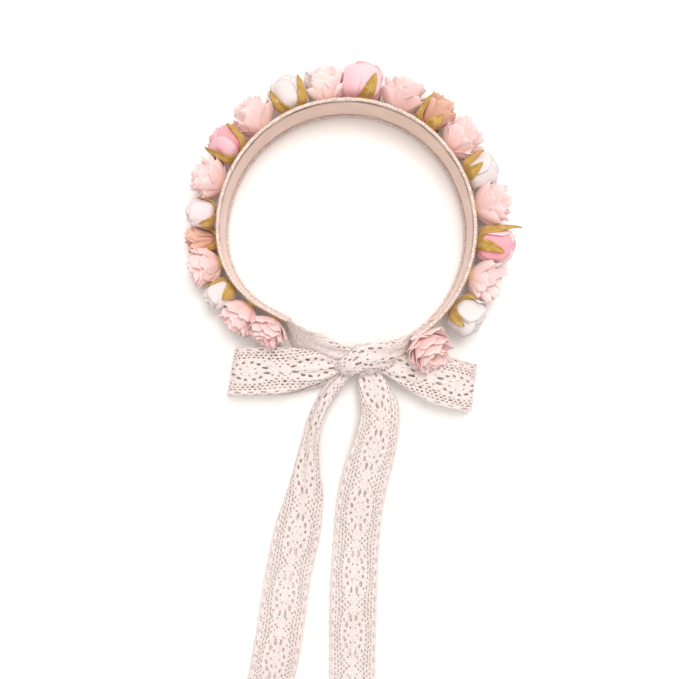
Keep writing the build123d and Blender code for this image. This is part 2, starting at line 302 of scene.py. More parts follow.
# For each petal cloth: its colour at the foot, in the middle and at the edge, the colour of the
# odd petals among them, and how much of a satin shine it has.
PALETTE = {
    "petal_peach": ((238, 176, 171), (249, 207, 206), (252, 224, 223), (251, 216, 215), 0.0),
    "petal_pale": ((239, 190, 185), (249, 217, 215), (253, 232, 230), (250, 213, 212), 0.0),
    "petal_pink": ((232, 128, 146), (246, 198, 209), (250, 218, 227), (243, 166, 180), 0.6),
    "petal_rose": ((208, 92, 106), (228, 144, 154), (240, 178, 186), (240, 200, 211), 0.6),
    "petal_white": ((214, 199, 194), (228, 220, 219), (235, 229, 230), (231, 222, 222), 0.6),
    "petal_salmon": ((168, 100, 76), (214, 158, 134), (234, 194, 176), (220, 170, 148), 0.0),
    "petal_lilac": ((220, 186, 186), (237, 217, 220), (242, 226, 230), (236, 212, 214), 0.6),
}
PETALS = {name: petal_material(name, *look) for name, look in PALETTE.items()}

bpy.ops.mesh.primitive_plane_add(size=FLOOR_SIZE, location=(0, 0, FLOOR_Z))
floor = bpy.context.object
floor.name = "floor"
floor.data.materials.append(floor_material())


# ---------- mesh helpers
def make_object(name, points, faces, material, attributes=()):
    """A smooth mesh from points in millimetres, with named float attributes on its points."""
    mesh = bpy.data.meshes.new(name)
    mesh.from_pydata([tuple(p) for p in np.asarray(points, float) * MM], [], faces)
    mesh.materials.append(material)
    for key, values in dict(attributes).items():
        values = np.asarray(values, np.float32)
        kind, field = ("FLOAT_VECTOR", "vector") if values.ndim == 2 else ("FLOAT", "value")
        mesh.attributes.new(key, kind, "POINT").data.foreach_set(field, values.ravel())
    mesh.polygons.foreach_set("use_smooth", [True] * len(faces))
    mesh.update()
    made = bpy.data.objects.new(name, mesh)
    bpy.context.scene.collection.objects.link(made)
    return made


def thicken(made, thick):
    """Gives a sheet its thickness, in millimetres, half on each side."""
    thickness = made.modifiers.new("thickness", "SOLIDIFY")
    thickness.thickness = thick * MM
    thickness.offset = 0


def strip_faces(rows, cols, base=0, closed=False):
    """Quads between rows of points, cols to a row, round and round if closed."""
    faces = []
    for i in range(rows - 1):
        for j in range(cols if closed else cols - 1):
            a, b = base + i * cols + j, base + i * cols + (j + 1) % cols
            faces.append((a, b, b + cols, a + cols))
    return faces


def end_caps(base, rows, sides):
    last = base + (rows - 1) * sides
    return [
        tuple(base + k for k in reversed(range(sides))),
        tuple(last + k for k in range(sides)),
    ]


def unit_rows(vectors):
    return vectors / np.linalg.norm(vectors, axis=1)[:, None]


def smooth_rows(rows, count):
    """A Catmull-Rom curve through rows of numbers, whose first three are a point.

    Gives count rows, evenly spaced along it, and how far along each of them is.
    """
    rows = np.asarray(rows, float)
    ends = np.vstack([2 * rows[0] - rows[1], rows, 2 * rows[-1] - rows[-2]])
    fine = []
    for i in range(1, len(ends) - 2):
        a, b, c, d = ends[i - 1 : i + 3]
        t = np.linspace(0, 1, 40, endpoint=False)[:, None]
        square, cube = 2 * a - 5 * b + 4 * c - d, 3 * b - a - 3 * c + d
        fine.append(0.5 * (2 * b + (c - a) * t + square * t**2 + cube * t**3))
    fine = np.vstack([*fine, rows[-1:]])
    run = np.concatenate([[0], np.cumsum(np.linalg.norm(np.diff(fine[:, :3], axis=0), axis=1))])
    at = np.linspace(0, run[-1], count)
    return np.stack([np.interp(at, run, fine[:, k]) for k in range(fine.shape[1])], 1), at


# ---------- lace
LACE_WIDTH = 35.0
LACE_THICK = 0.75
REPEAT = 47.0
EYELETS, SCALLOPS = 13, 5  # in one repeat
SCALLOP = REPEAT / SCALLOPS
NARROWEST = 0.46  # where the ribbon's share of its width is less than this, it is squeezed
FOLD_OVER = 0.12  # the share over which a folded edge comes in
FOLD_RADII = (1.2, 1.8)  # on the +v side and the -v side


def lace_holes():
    """One repeat's holes on the +v side: (u, v, half length, half width, slant)."""
    rosette = (
        (13.2, 2.0, 2.5, 0.8, 0.1),
        (8.2, 4.8, 1.6, 0.85, 0.55),
        (3.0, 6.1, 1.3, 0.9, 0.2),
        (19.2, 6.2, 0.9, 0.5, 0.6),
        (21.4, 4.2, 0.8, 0.5, 0.6),
        (21.0, 8.0, 0.9, 0.5, 0.6),
        (5.6, 1.7, 0.75, 0.45, 0.3),
        (16.9, 3.4, 0.8, 0.45, 0.5),
        (12.0, 6.9, 0.9, 0.5, 0.5),
        (16.0, 7.6, 0.9, 0.5, 0.4),
    )
    holes = [(u * side, v, a, b, slant * side) for side in (1, -1) for u, v, a, b, slant in rosette]
    holes += [(23.5, 2.4, 0.75, 0.45, 0.0), (23.5, 6.3, 0.8, 0.5, 0.0), (0.0, 3.3, 0.75, 0.45, 0.0)]
    for k in range(EYELETS):
        u = k * REPEAT / EYELETS
        sway = math.cos(2 * math.pi * u / REPEAT)
        big = 1 + 0.22 * math.sin(2.4 * k)
        holes.append((u, 9.1 + 0.7 * sway, 1.15 * big, 0.5, 0.35))
        holes.append((u + 1.8, 11.1 + 0.5 * sway, 1.3 / big, 0.55, -0.3))
        holes.append((u + 0.3, 13.1 + 0.2 * sway, 1.15 * big, 0.5, 0.3))
    for k in range(SCALLOPS):
        holes.append((k * SCALLOP, 15.35, 2.1, 0.6, 0.0))
    return holes


def lace_field(u, v, solid_middle):
    """How far inside the thread a point of the flat lace is, in millimetres: below 0 is a hole.

    There are no holes nearer than solid_middle to the centre line.
    """
    warp = (
        0.3 * np.sin(0.7 * u + 0.9 * v)
        + 0.24 * np.sin(1.7 * u - 1.1 * v)
        + 0.2 * np.sin(0.31 * u + 2.3 * v)
    )
    v2 = v + 0.5 * warp
    turn = 2 * math.pi * u / SCALLOP
    rim = 0.3 * np.cos(turn) + 0.28 * np.cos(3 * turn + np.sign(v))
    field = 17.0 + rim + 0.12 * np.cos(2.9 * u) - np.abs(v)
    u2 = u + warp
    for cu, cv, a, b, slant in lace_holes():
        if cv < solid_middle:
            continue
        du = (u2 - cu + REPEAT / 2) % REPEAT - REPEAT / 2
        for side in (1, -1):
            dv = side * v2 - cv
            lean = du + slant * dv
            away = (np.sqrt((lean / a) ** 2 + (dv / b) ** 2) - 1) * min(a, b)
            field = np.minimum(field, away)
    return field


def lace_mesh(field, grid_u, grid_v):
    """The flat lace where the field is above 0, by marching squares.

    Gives its (u, v, field) points, its faces, and the edges that bound it.
    """
    points, faces, walls = [], [], []
    ids = -np.ones(field.shape, int)
    for i, j in zip(*np.nonzero(field > 0)):
        ids[i, j] = len(points)
        points.append((grid_u[i], grid_v[j], field[i, j]))
    crossing = {}

    def cross(i, j, k, m):
        key = (i, j, k, m) if (i, j) < (k, m) else (k, m, i, j)
        if key not in crossing:
            a, b = field[i, j], field[k, m]
            t = min(max(a / (a - b), 0.08), 0.92)
            crossing[key] = len(points)
            u = grid_u[i] * (1 - t) + grid_u[k] * t
            v = grid_v[j] * (1 - t) + grid_v[m] * t
            points.append((u, v, 0.0))
        return crossing[key]

    inside = field > 0
    corners = (inside[:-1, :-1], inside[1:, :-1], inside[1:, 1:], inside[:-1, 1:])
    every = np.logical_and.reduce(corners)
    for i, j in zip(*np.nonzero(np.logical_or.reduce(corners))):
        if every[i, j]:
            faces.append((ids[i, j], ids[i + 1, j], ids[i + 1, j + 1], ids[i, j + 1]))
            continue
        ring = []
        around = ((i, j), (i + 1, j), (i + 1, j + 1), (i, j + 1))
        for n in range(4):
            a, b = around[n], around[(n + 1) % 4]
            if inside[a]:
                ring.append((ids[a], False))
            if inside[a] != inside[b]:
                ring.append((cross(*a, *b), True))
        faces.append(tuple(r[0] for r in ring))
        for n in range(len(ring)):
            p, q = ring[n], ring[(n + 1) % len(ring)]
            if p[1] and q[1]:
                walls.append((p[0], q[0]))
    return np.array(points), faces, walls


def lace_piece(
    name, rows, node, start=0.0, step=(0.62, 0.5), pleats=4, solid_middle=0.0,
    phase=0.0, deepest=0.6, under=-1, slack=0.0,
):
    """A length of lace along rows of (x, y, z, width direction, width share), with real holes.

    start is where in the pattern it begins. Where the width share is under 1, its edges are folded
    under, towards `under` times its normal, and the rest is gathered in small pleats up to
    `deepest` deep, so it keeps its real width. slack skews its threads along it.
    """
    path, run = smooth_rows(rows, 400)
    length = run[-1]
    centre = path[:, :3]
    along = unit_rows(np.gradient(centre, axis=0))
    wide = path[:, 3:6]
    wide = unit_rows(wide - (wide * along).sum(1)[:, None] * along)
    normal = np.cross(along, wide)
    share = np.clip(path[:, 6], 0.2, 1.0)

    margin = 0.8
    grid_u = np.linspace(0, length, int(length / step[0]) + 1)
    reach = LACE_WIDTH / 2 + margin
    grid_v = np.linspace(-reach, reach, int((LACE_WIDTH + 2 * margin) / step[1]) + 1)
    gu, gv = np.meshgrid(grid_u, grid_v, indexing="ij")
    field = lace_field(gu + start, gv, solid_middle)
    field[0] = field[-1] = -0.2  # closes the cut ends
    flat, faces, walls = lace_mesh(field, grid_u, grid_v)
    u, v, f = flat[:, 0], flat[:, 1], flat[:, 2]

    def at(values):
        return np.stack([np.interp(u, run, values[:, k]) for k in range(3)], 1)

    # The cross-section: flat up to bend_at, then round a half turn and back underneath.
    c, w, n = at(centre), at(wide), at(normal)
    g = np.interp(u, run, share)
    keep = np.clip(g, NARROWEST, 1.0)
    spare = np.clip((1 - keep) / FOLD_OVER, 0, 1)
    radius = np.where(v > 0, *FOLD_RADII) * spare + 0.01
    half_seen = keep * LACE_WIDTH / 2
    bend_at = half_seen - radius * spare
    beyond = np.abs(v) - bend_at
    angle = np.clip(beyond / radius, 0, math.pi)
    folded = beyond > 0
    back = np.maximum(beyond - math.pi * radius, 0)
    across = np.sign(v) * np.where(folded, bend_at + radius * np.sin(angle) - back, np.abs(v))
    drop = np.where(folded, radius * (1 - np.cos(angle)), 0.0)
    tangent = np.where(folded, np.cos(angle), 1.0)
    dip = np.where(folded, np.sin(angle), 0.0) * np.sign(v)

    # Its pleats, a crown over the folded edges, and a slight ripple everywhere.
    wave = 2 * math.pi * pleats / LACE_WIDTH
    turn = wave * across + phase + 0.5 * np.sin(u / 19.0) + 0.8 * np.sin(across / 5.3 + phase)
    amplitude = deepest * np.clip((1 - g) / 0.3, 0, 1)
    crown = 1.6 * spare * (1 - g) * (1 - (across / half_seen) ** 2)
    rise = (amplitude * np.sin(turn) + crown) * np.where(drop > 0, 0.4, 1.0)
    slope = amplitude * np.cos(turn) * wave - 3.2 * spare * (1 - g) * across / half_seen**2
    ripple = 0.22 * np.sin(u / 7.0 + v / 9.0) + 0.16 * np.sin(u / 4.1 - v / 5.0)
    height = -under * (rise + ripple) + under * drop

    out = unit_rows(n * tangent[:, None] + w * (under * (slope * tangent) - under * dip)[:, None])
    forward = np.cross(w, n)
    middle = c + w * (across * (g / keep))[:, None] + n * height[:, None]
    skew = slack * (np.sin(v / 4.6 + phase) + 0.5 * np.sin(v / 2.1))
    middle = middle + forward * skew[:, None]

    # Two skins, thinner and rounded towards every hole and with a bead of thread round it.
    rounded = 0.42 + 0.58 * np.clip(f / 0.55, 0, 1)
    bead = 0.14 * np.exp(-(((f - 0.42) / 0.3) ** 2))
    half = (LACE_THICK / 2 * rounded + bead)[:, None]
    top, bottom = middle + out * half, middle - out * half
    count = len(flat)
    solid = [*faces, *(tuple(x + count for x in reversed(face)) for face in faces)]
    solid += [(q, p, p + count, q + count) for p, q in walls]
    place = np.stack([u + start, v, np.zeros(count)], 1)
    # rim is 0 at a hole's edge and 1 inside the thread; the lace material paints shade round the holes
    # with it.
    rim = np.tile(np.clip(f / 0.35, 0, 1), 2)
    attributes = {"lace": np.vstack([place, place]), "rim": rim}
    made = make_object(name, np.vstack([top, bottom]), solid, LACE, attributes)
    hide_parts(node)
    return made, length


# ---------- the band's plan
# Round the head, then a tighter bend at the back left, then straight to the left end.
HEAD_RADIUS, BEND_RADIUS = 89.0, 60.0
RIGHT_END, BEND_START, BEND_END = -60.0, 184.0, 242.0  # degrees
LACE_OFFSET, OUTER = 1.1, 2.4  # of the lace's middle, and of the band's outer face
MIDDLE_Z = 17.5


def unit(angle):
    return np.array([math.cos(math.radians(angle)), math.sin(math.radians(angle))])


BEND_CENTRE = (HEAD_RADIUS - BEND_RADIUS) * unit(BEND_START)


def band_point(offset, angle, run=0.0):
    """A point at an angle round the band, offset outwards, and run past the bend's end."""
    if angle <= BEND_START:
        return unit(angle) * (HEAD_RADIUS + offset)
    return BEND_CENTRE + unit(angle) * (BEND_RADIUS + offset) + unit(angle + 90) * run


def band_rows(offset, z, right=RIGHT_END, run=18.0):
    """Points along the band from its right end to its left one, with the outward direction."""
    rows = []
    angle = right
    while angle < BEND_END:
        rows.append((*band_point(offset, angle), z, *unit(angle)))
        angle += 4.0 if angle < BEND_START else 5.6
    for more in np.linspace(0, run, 4):
        rows.append((*band_point(offset, BEND_END, more), z, *unit(BEND_END)))
    return rows


# ---------- lace band, lining, edges
rows = [(x, y, z, 0, 0, 1, 1.0) for x, y, z, _, _ in band_rows(LACE_OFFSET, MIDDLE_Z)]
lace_band, length = lace_piece(
    "lace_band_cloth", rows, "lace_band", step=(0.8, 0.7), pleats=3, solid_middle=8.0
)
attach(lace_band, "crown")


def ribbon(name, offset, low, high, right, run):
    """The smooth lining, between two heights, with a slightly wavy face and edges."""
    path, length = smooth_rows(band_rows(offset, 0, right, run), 420)
    points, place = [], []
    across = 13
    for i, (x, y, _, nx, ny) in enumerate(path):
        u = length[i]
        for j in range(across):
            t = j / (across - 1)
            wave = 0.10 * math.sin(u / 9.0 + 3 * t) + 0.07 * math.sin(u / 3.7 - 4 * t)
            edge = 0.16 * math.sin(u / 6.0) + 0.1 * math.sin(u / 2.3)
            z = low + (high - low) * t + edge * (1 if t in (0, 1) else 0.5)
            points.append((x + nx * wave, y + ny * wave, z))
            place.append((u, z - (low + high) / 2, 0))
    faces = strip_faces(len(path), across)
    made = make_object(name, points, faces, LINING, {"lace": place})
    thicken(made, 0.45)
    return made, length[-1]


lining, length = ribbon("lining_cloth", offset=0.3, low=4.2, high=30.8, right=-46.0, run=3.0)
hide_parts("lining_ribbon")
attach(lining, "crown")


def plait(name, node, offset, z, sway, thickness, scallop):
    """Three strands plaited along an edge of the band, which rises and falls with its scallops."""
    pitch, lift = 6.6, 0.35
    path, run = smooth_rows(band_rows(offset, z), 1500)
    points, faces, place = [], [], []
    sides = 6
    for strand in range(3):
        base = len(points)
        middle = []
        for i, (x, y, zz, nx, ny) in enumerate(path):
            a = 2 * math.pi * (run[i] / pitch + strand / 3)
            side = sway * math.sin(a)
            up = lift * math.sin(2 * a) + scallop * math.cos(2 * math.pi * run[i] / SCALLOP)
            middle.append((x + nx * side, y + ny * side, zz + up))
        middle = np.array(middle)
        along = unit_rows(np.gradient(middle, axis=0))
        for i in range(len(middle)):
            side = np.array([path[i][3], path[i][4], 0.0])
            side -= side.dot(along[i]) * along[i]
            side /= np.linalg.norm(side)
            up = np.cross(along[i], side)
            for k in range(sides):
                b = 2 * math.pi * k / sides
                points.append(middle[i] + thickness * (side * math.cos(b) + up * math.sin(b)))
                place.append((run[i], k, strand))
        faces += strip_faces(len(middle), sides, base, closed=True)
        faces += end_caps(base, len(middle), sides)
    made = make_object(name, points, faces, COTTON, {"lace": place})
    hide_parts(node)
    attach(made, "crown")


plait("upper_edge_plait", "upper_lace_edge", LACE_OFFSET, 34.3, 0.72, 0.55, 0.3)
plait("lower_edge_plait", "lower_lace_edge", 0.0, 1.95, 0.95, 0.66, 0.5)


def thread(name, offset, z, seed):
    """A fine loose thread along the outside of the band."""
    rng = random.Random(seed)
    wobble = 0.4
    rows = band_rows(offset, z)
    curve = bpy.data.curves.new(name, "CURVE")
    curve.dimensions = "3D"
    curve.bevel_depth = 0.1 * MM
    curve.bevel_resolution = 1
    spline = curve.splines.new("NURBS")
    spline.points.add(len(rows) - 1)
    for point, (x, y, zz, nx, ny) in zip(spline.points, rows):
        out = rng.uniform(0, wobble)
        up = rng.uniform(-wobble, wobble)
        point.co = ((x + nx * out) * MM, (y + ny * out) * MM, (zz + up) * MM, 1)
    spline.order_u = 3
    spline.use_endpoint_u = True
    curve.materials.append(GOLD)
    made = bpy.data.objects.new(name, curve)
    bpy.context.scene.collection.objects.link(made)
    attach(made, "crown")


for k, (z, offset) in enumerate(((33.2, 2.5), (32.4, 2.9), (31.4, 3.1), (3.2, 2.5))):
    thread(f"gold_thread_{k + 1}", offset, z, 40 + k)


def coat_node(node, material):
    """Gives a CAD node that stays in view its material."""
    NODES[node].data.materials.clear()
    NODES[node].data.materials.append(material)


coat_node("base_strip", BASE)
coat_node("glue_pads", GLUE)


# ---------- straps
def leaning(normal, degrees):
    """The ribbon's width direction, tipped inwards from upright."""
    lean = math.radians(degrees)
    return (-normal[0] * math.sin(lean), -normal[1] * math.sin(lean), math.cos(lean))


n_left = unit(BEND_END)
start = band_point(LACE_OFFSET, BEND_END, 15.0)
rows = [
    (*start, MIDDLE_Z, *leaning(n_left, 5), 1.0),
    (-41.4, -70.0, 18.3, *leaning(n_left, 18), 1.0),
    (-34.2, -77.6, 19.6, *leaning(n_left, 30), 1.0),
    (-24.2, -83.2, 20.6, *leaning(n_left, 34), 0.92),
    (-12.0, -88.0, 24.0, 0.28, 0.66, 0.68, 0.66),
    (-1.5, -90.6, 24.2, 0.22, 0.80, 0.52, 0.46),
    (8.0, -91.8, 23.0, 0.15, 0.88, 0.40, 0.38),
]
left_strap, length = lace_piece("left_strap_cloth", rows, "left_tie_strap", start=20.0, phase=0.8)
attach(left_strap, "crown")

n_right = unit(RIGHT_END)
start = band_point(LACE_OFFSET, RIGHT_END + 3)
rows = [
    (*start, MIDDLE_Z, *leaning(n_right, 0), 1.0),
    (46.2, -79.9, 17.8, *leaning(n_right, 10), 1.0),
    (40.6, -86.2, 21.6, *leaning(n_right, 25), 0.86),
    (31.5, -89.4, 26.5, *leaning(n_right, 46), 0.64),
    (22.0, -89.8, 31.0, -0.02, 0.95, 0.30, 0.52),
    (12.0, -91.0, 33.0, -0.22, 0.96, 0.1, 0.46),
    (3.5, -95.6, 31.4, -0.52, 0.84, 0.1, 0.44),
    (-1.5, -100.0, 26.0, -0.74, 0.62, 0.1, 0.42),
    (-2.5, -102.6, 17.0, -0.84, 0.5, 0.1, 0.38),
    (2.0, -101.0, 9.5, -0.84, 0.5, 0.0, 0.36),
]
right_strap, length = lace_piece(
    "right_strap_cloth", rows, "right_tie_strap", start=9.0, phase=2.0, under=1
)
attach(right_strap, "crown")

# ---------- knot
KNOT_Y = -92.5
KNOT_ROWS = 18  # in its one turn
rows = []
for k in range(KNOT_ROWS + 1):
    a = 2 * math.pi * k / KNOT_ROWS + 0.3
    y, z = KNOT_Y + 9.6 * math.cos(a), 18.0 + 10.0 * math.sin(a)
    rows.append((12.5 - 5.0 * math.cos(a), y, z, 0.93, 0.2, 0.1 * math.sin(a), 0.60))
knot, length = lace_piece("bow_knot_wrap", rows, "bow_knot", start=3.0, phase=0.5)
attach(knot, "crown")


def lumpy_core(name, centre, radii):
    """The lace packed inside the knot, as a lumpy closed core along x."""
    points = []
    rows, cols = 18, 28
    for i in range(rows + 1):
        a = math.pi * i / rows
        for j in range(cols):
            b = 2 * math.pi * j / cols
            lump = 1 + 0.05 * math.sin(3 * b + 2 * a) + 0.03 * math.sin(7 * b)
            out = math.sin(a) * lump
            way = (math.cos(a), out * math.cos(b), out * math.sin(b))
            points.append([c + r * x for c, r, x in zip(centre, radii, way)])
    place = [(p[0], p[1] + p[2], 0) for p in points]
    faces = strip_faces(rows + 1, cols, closed=True)
    return make_object(name, points, faces, LACE, {"lace": place, "rim": [1.0] * len(points)})


knot_core = lumpy_core("knot_core", (13.0, KNOT_Y, 18.5), (12.5, 9.8, 10.2))
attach(knot_core, "crown")

# ---------- loops
rows = [
    (9.0, -95.0, 17.5, 0.0, 1.0, 0.05, 0.30),
    (0.0, -95.6, 17.2, 0.0, 1.0, 0.05, 0.30),
    (-9.0, -96.4, 18.6, 0.0, 1.0, 0.08, 0.42),
    (-22.0, -98.0, 19.6, 0.05, 1.0, 0.06, 0.66),
    (-42.0, -99.6, 18.6, 0.10, 1.0, 0.03, 0.90),
    (-62.0, -100.6, 17.2, 0.16, 1.0, 0.0, 1.0),
    (-76.0, -101.2, 15.8, 0.18, 1.0, 0.0, 1.0),
    (-82.6, -101.6, 11.6, 0.18, 1.0, 0.0, 1.0),
    (-83.6, -102.0, 7.0, 0.18, 1.0, 0.0, 1.0),
    (-78.0, -102.2, 2.6, 0.16, 1.0, 0.0, 1.0),
    (-62.0, -102.2, 1.7, 0.12, 1.0, 0.0, 1.0),
    (-40.0, -101.6, 2.6, 0.06, 1.0, -0.02, 0.92),
    (-22.0, -100.4, 5.6, 0.0, 1.0, -0.04, 0.72),
    (-9.0, -98.2, 9.4, 0.0, 1.0, 0.0, 0.48),
    (0.0, -97.0, 11.5, 0.0, 1.0, 0.0, 0.32),
    (9.0, -96.0, 12.5, 0.0, 1.0, 0.0, 0.30),
]
left_loop, length = lace_piece(
    "left_loop_cloth", rows, "left_bow_loop", start=14.0, phase=1.0, deepest=1.0, under=1, slack=0.7
)
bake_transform(left_loop)

rows = [
    (18.0, -96.0, 18.0, 0.0, 1.0, 0.0, 0.32),
    (27.0, -96.6, 17.2, 0.02, 1.0, 0.0, 0.34),
    (36.0, -98.6, 17.6, 0.05, 1.0, 0.04, 0.50),
    (48.0, -102.2, 18.2, 0.08, 1.0, 0.03, 0.72),
    (64.0, -107.0, 17.4, 0.10, 1.0, 0.0, 0.92),
    (80.0, -111.4, 16.0, 0.115, 1.0, 0.0, 1.0),
    (90.0, -113.6, 13.6, 0.115, 1.0, 0.0, 1.0),
    (93.6, -113.6, 8.8, 0.115, 1.0, 0.0, 1.0),
    (90.0, -112.4, 3.4, 0.115, 1.0, 0.0, 1.0),
    (79.0, -109.4, 1.8, 0.10, 1.0, 0.0, 1.0),
    (62.0, -104.6, 2.8, 0.06, 1.0, 0.0, 0.92),
    (46.0, -101.0, 5.6, 0.03, 1.0, 0.0, 0.72),
    (36.0, -98.8, 8.8, 0.0, 1.0, 0.0, 0.50),
    (27.0, -97.0, 11.0, 0.0, 1.0, 0.0, 0.34),
    (18.0, -96.5, 12.0, 0.0, 1.0, 0.0, 0.32),
]
right_loop, length = lace_piece(
    "right_loop_cloth", rows, "right_bow_loop", start=30.0, phase=2.6, deepest=1.0, slack=0.7
)
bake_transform(right_loop)

# ---------- tails
rows = [
    (4.0, -96.0, 14.0, 1.0, -0.2, 0.2, 0.26),
    (-2.5, -104.0, 15.2, 1.0, -0.4, 0.5, 0.28),
    (-12.0, -114.0, 14.6, 0.8, -0.5, 1.0, 0.36),
    (-21.0, -129.0, 13.4, 0.6, -0.3, 1.1, 0.46),
    (-26.5, -148.0, 12.0, 0.62, -0.15, 1.0, 0.54),
    (-29.5, -170.0, 10.0, 0.8, -0.02, 0.6, 0.62),
    (-31.0, -194.0, 7.6, 1.0, 0.08, 0.22, 0.78),
    (-36.5, -222.0, 5.2, 1.0, 0.16, 0.05, 0.95),
    (-43.5, -256.0, 2.6, 1.0, 0.2, -0.03, 1.0),
    (-50.0, -300.0, 5.6, 1.0, 0.17, 0.04, 1.0),
    (-58.5, -346.0, 2.2, 1.0, 0.19, -0.03, 1.0),
    (-67.5, -391.5, 3.6, 1.0, 0.2, 0.0, 1.0),
]
left_tail, length = lace_piece("left_tail_cloth", rows, "left_tail", start=4.0, pleats=3, phase=0.2)
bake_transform(left_tail)

rows = [
    (14.0, -94.0, 15.5, 1.0, 0.1, -0.1, 0.40),
    (16.5, -104.0, 15.2, 1.0, 0.0, -0.15, 0.48),
    (21.0, -116.0, 15.6, 1.0, 0.05, -0.2, 0.66),
    (25.0, -131.0, 15.0, 1.0, 0.15, -0.2, 0.82),
    (22.5, -150.0, 13.0, 1.0, 0.22, -0.12, 0.88),
    (17.0, -170.0, 10.6, 1.0, 0.2, -0.08, 0.94),
    (11.0, -196.0, 7.4, 1.0, 0.12, 0.02, 1.0),
    (7.5, -230.0, 2.8, 1.0, 0.06, 0.03, 1.0),
    (5.6, -270.0, 5.6, 1.0, 0.03, -0.04, 1.0),
    (4.6, -320.0, 2.2, 1.0, 0.0, 0.03, 1.0),
    (4.5, -360.0, 4.8, 1.0, 0.0, -0.02, 1.0),
    (4.5, -398.0, 1.8, 1.0, 0.0, 0.0, 1.0),
]
right_tail, length = lace_piece("right_tail_cloth", rows, "right_tail", start=27.0, pleats=3, phase=1.4)
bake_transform(right_tail)


# ---------- flowers
# From the left end of the band to the right one: kind, angle round the band, run past the bend's
# end, height of its foot, tilt upwards, radius, length, petal cloth.
FLOWERS = [
    ("blossom", 242, 9.0, 22.0, 16, 12.5, 22.0, "petal_peach"),
    ("blossom", 231, 0, 17.0, 0, 12.5, 25.5, "petal_peach"),
    ("bud", 215, 0, 18.5, 0, 9.8, 25.0, "petal_white"),
    ("blossom", 198, 0, 17.0, 0, 11.8, 26.0, "petal_peach"),
    ("rose", 183, 0, 11.0, -4, 8.5, 27.0, "petal_salmon"),
    ("bud", 173.5, 0, 22.0, 4, 9.5, 24.0, "petal_lilac"),
    ("blossom", 159, 0, 17.5, 0, 13.5, 26.0, "petal_peach"),
    ("bud", 144, 0, 18.5, 0, 12.5, 27.0, "petal_rose"),
    ("blossom", 129, 0, 17.5, 0, 13.5, 26.0, "petal_peach"),
    ("bud", 113, 0, 18.5, 0, 13.0, 28.0, "petal_white"),
    ("blossom", 98.5, 0, 17.0, 0, 12.0, 27.0, "petal_pale"),
    ("bud", 84, 0, 18.5, 0, 14.5, 30.0, "petal_pink"),
    ("blossom", 67.5, 0, 17.5, 0, 13.5, 27.0, "petal_pale"),
    ("rose", 52.5, 0, 17.5, 0, 12.0, 28.0, "petal_salmon"),
    ("blossom", 39, 0, 17.5, 0, 12.0, 27.0, "petal_peach"),
    ("bud", 24.5, 0, 18.0, 0, 12.0, 27.0, "petal_white"),
    ("blossom", 10.5, 0, 17.5, 0, 13.0, 28.0, "petal_peach"),
    ("bud", -5, 0, 18.5, 0, 12.8, 30.0, "petal_pink"),
    ("blossom", -19.5, 0, 17.5, 0, 12.6, 27.0, "petal_pale"),
    ("bud", -35, 0, 18.5, 0, 13.5, 27.0, "petal_white"),
    ("blossom", -55.5, 0, 23.0, 28, 17.0, 25.0, "petal_peach"),
]
FULL_TURN = 6.28  # radians, for random directions
LIMITS = {1: (7.0, 39.0), 21: (20.5, 43.0)}  # lowest and highest point of flowers over the bow
USUAL_LIMITS = (0.5, 36.5)


def axis_frame(angle, run, height, tilt):
    """A flower's foot on the band, and its axes: along the band, up, and outwards."""
    foot = band_point(OUTER, angle, run)
    lean, out = math.radians(tilt), unit(angle)
    x = np.array([*unit(angle + 90), 0.0])
    z = np.array([out[0] * math.cos(lean), out[1] * math.cos(lean), math.sin(lean)])
    return np.array([foot[0], foot[1], height]), x, np.cross(z, x), z


FOOT = (1.8, 2.8)  # where petals start: distance from the flower's axis, and height


def eased(value, most, give=0.2):
    """A distance that passes `most` is pressed back towards it, as by a neighbour."""
    return value if value < most else most + give * (value - most)


class Parts:
    """Collects the petals of one flower, given in its own axes and placed on the band.

    room holds the neighbours' (foot, outward axis, share of the gap) on the -x and +x sides, and
    limits the lowest and highest z. A petal that passes them is pressed back.
    """

    def __init__(self, axes, room, limits=USUAL_LIMITS):
        self.origin, self.x, self.y, self.z = axes
        self.room, (self.low, self.high) = room, limits
        self.points, self.faces = [], []
        self.tint, self.vary, self.across = [], [], []

    def place(self, local):
        x, y, h = local
        side = self.room[0 if x < 0 else 1]
        if side is not None:
            foot, axis, share = side
            gap = np.linalg.norm(self.origin + h * self.z - foot - h * axis)
            x = math.copysign(eased(abs(x), gap * share), x)
        at = self.origin + x * self.x + y * self.y + h * self.z
        if at[2] < self.low:
            at[2] = self.low - eased(self.low - at[2], 0.0, 0.1)
        else:
            at[2] = eased(at[2], self.high)
        return at

    def sheet(self, rows, cols, function, vary):
        """Adds function(s, w) for s from 0 to 1 along the petal and w from -1 to 1 across it."""
        base = len(self.points)
        for i in range(rows + 1):
            for j in range(cols + 1):
                s, w = i / rows, 2 * j / cols - 1
                self.points.append(self.place(function(s, w)))
                self.tint.append(s)
                self.vary.append(vary)
                self.across.append(w)
        self.faces += strip_faces(rows + 1, cols + 1, base)

    def make(self, name, material, thick):
        attributes = {"tint": self.tint, "vary": self.vary, "across": self.across}
        made = make_object(name, self.points, self.faces, material, attributes)
        thicken(made, thick)
        return made


def curve_through(profile):
    """A function of 0 to 1 along a smooth (distance from the axis, height) profile."""
    profile = np.asarray(profile, float)
    dense, run = smooth_rows(np.c_[profile, np.zeros(len(profile))], 60)
    at = run / run[-1]
    return lambda s: (np.interp(s, at, dense[:, 0]), np.interp(s, at, dense[:, 1]))


